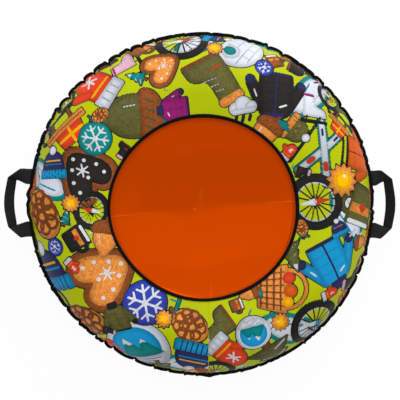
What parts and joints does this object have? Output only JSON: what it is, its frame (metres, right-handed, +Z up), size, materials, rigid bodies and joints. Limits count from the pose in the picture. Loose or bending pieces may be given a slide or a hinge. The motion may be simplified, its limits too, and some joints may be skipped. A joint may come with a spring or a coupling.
{
  "type": "snow tube",
  "caption": "Round inflatable snow tube: printed fabric ring round a plain dished seat, gathered bound rim, side webbing handles, zipped coated underside over a rubber inner tube.",
  "frame": {"origin": "under the centre of the tube, on the surface that it lies on", "axes": "+X through the handles, +Y towards the top of the picture and the valve, +Z up out of the seat"},
  "size_m": [1.0224, 0.9036, 0.2434],
  "materials": {
    "printed_fabric": "printed coated polyester",
    "seat_fabric": "satin coated cloth",
    "bottom_fabric": "smooth tarpaulin",
    "binding_tape": "woven tape",
    "webbing": "woven webbing",
    "zip_tape": "woven tape",
    "butyl_rubber": "matte",
    "zip_plastic": "moulded",
    "cap_plastic": "moulded",
    "zip_metal": "blackened cast zinc",
    "brass": "turned",
    "steel": "bright"
  },
  "bodies": {
    "tube_and_cover": {"inner_tube": "butyl_rubber", "valve_base": "butyl_rubber", "valve_stem": "brass", "valve_core": "brass", "top_ring": "printed_fabric", "seat_panel": "seat_fabric", "bottom_panel": "bottom_fabric", "zip_patch_left": "bottom_fabric", "zip_patch_right": "bottom_fabric", "seat_binding": "binding_tape", "rim_binding": "binding_tape", "left_strap_end_upper": "webbing", "left_strap_end_lower": "webbing", "right_strap_end_upper": "webbing", "right_strap_end_lower": "webbing", "zip_tape_upper": "zip_tape", "zip_tape_lower": "zip_tape", "zip_teeth_upper": "zip_plastic", "zip_teeth_lower": "zip_plastic", "zip_top_stop_upper": "zip_plastic", "zip_top_stop_lower": "zip_plastic", "zip_bottom_stop": "zip_plastic"},
    "left_loop": {"left_handle": "webbing"},
    "right_loop": {"right_handle": "webbing"},
    "slider": {"zip_slider": "zip_metal"},
    "pull": {"zip_pull": "zip_metal"},
    "cap_seal": {"valve_cap_seal": "butyl_rubber"},
    "cap": {"valve_cap": "cap_plastic"},
    "pin": {"valve_pin": "steel"}
  },
  "joints": [
    {"name": "left_handle_swing", "type": "hinge", "parent": "tube_and_cover", "child": "left_loop", "pos_m": [-0.4521, 0, 0.11855], "axis": [0, 1, 0], "range_deg": [-80, 90], "stiffness_Nm_per_rad": 0.2},
    {"name": "right_handle_swing", "type": "hinge", "parent": "tube_and_cover", "child": "right_loop", "pos_m": [0.4521, 0, 0.11855], "axis": [0, -1, 0], "range_deg": [-80, 90], "stiffness_Nm_per_rad": 0.2},
    {"name": "zip_slide", "type": "slide", "parent": "tube_and_cover", "child": "slider", "axis": [-1, 0, 0], "range_m": [0, 0.367], "deforming": ["zip_teeth_upper", "zip_teeth_lower"]},
    {"name": "zip_pull_swing", "type": "hinge", "parent": "slider", "child": "pull", "pos_m": [0.1868, 0, 0.0094], "axis": [0, -1, 0], "range_deg": [0, 180]},
    {"name": "valve_cap_lift", "type": "slide", "parent": "tube_and_cover", "child": "cap_seal", "axis": [0, -1, 0], "range_m": [0, 0.00397]},
    {"name": "valve_cap_turn", "type": "hinge", "parent": "cap_seal", "child": "cap", "pos_m": [0, 0.155, 0.1218], "axis": [0, -1, 0], "range_deg": [0, 1800]},
    {"name": "valve_pin_press", "type": "slide", "parent": "tube_and_cover", "child": "pin", "axis": [0, 1, 0], "range_m": [0, 0.0015], "stiffness_N_per_m": 400, "springref_m": -0.001}
  ],
  "couplings": [
    {"joint": "valve_cap_turn", "follows": "valve_cap_lift", "rad_per_m": 7913}
  ]
}
